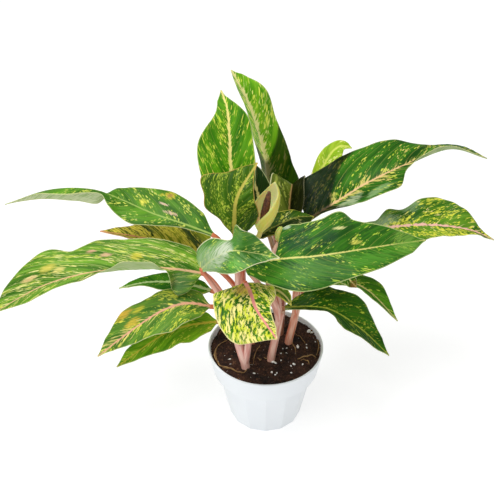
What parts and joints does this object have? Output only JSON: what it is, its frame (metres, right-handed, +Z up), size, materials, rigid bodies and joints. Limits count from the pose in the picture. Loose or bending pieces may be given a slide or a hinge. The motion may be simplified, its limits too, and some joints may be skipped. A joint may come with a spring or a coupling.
{
  "type": "potted chinese evergreen",
  "caption": "Bushy variegated house plant with long waved pointed leaves on pink stalks, a pale hooded flower and a bud, growing in a small tapered white nursery pot.",
  "frame": {"origin": "centre of the pot's underside, on the surface that it stands on", "axes": "+Z up; +X to the viewer's right along the plant's widest spread; -Y towards the viewer, at the plant's front"},
  "size_m": [0.4858, 0.2195, 0.3335],
  "materials": {
    "pot_plastic": "white moulded polypropylene, satin",
    "soil": "damp peat and bark mix with white perlite and thin roots",
    "stalk": "pink to salmon canes and petioles with pale streaks, waxy",
    "leaf": "green leaf flecked with yellow, cream and pink along its veins, waxy sheen",
    "flower": "pale cream and green spathe, thin and matt",
    "spadix": "dried reddish brown spike, finely knobbed"
  },
  "bodies": {
    "root": {"pot": "pot_plastic", "soil": "soil", "stem_a": "stalk", "stem_b": "stalk", "stem_c": "stalk", "stem_d": "stalk", "stem_e": "stalk", "leaf_01_upper_left": "leaf", "leaf_02_mid_left": "leaf", "leaf_03_long_left": "leaf", "leaf_04_small_left": "leaf", "leaf_05_front_pale": "leaf", "leaf_06_front_hanging": "leaf", "leaf_07_front_right": "leaf", "leaf_08_right": "leaf", "leaf_09_upper_right": "leaf", "leaf_10_lime_behind": "leaf", "leaf_11_centre_back": "leaf", "leaf_12_top": "leaf", "leaf_13_upper_centre": "leaf", "leaf_14_centre_front": "leaf", "leaf_15_centre_behind": "leaf", "leaf_16_brown_tip": "leaf", "leaf_17_edge_on": "leaf", "leaf_18_lower_left": "leaf", "leaf_19_bottom_left": "leaf", "leaf_20_lower_right": "leaf", "leaf_21_right_behind": "leaf", "leaf_22_young_front": "leaf", "spathe": "flower", "spadix": "spadix", "flower_bud": "flower"}
  },
  "joints": []
}
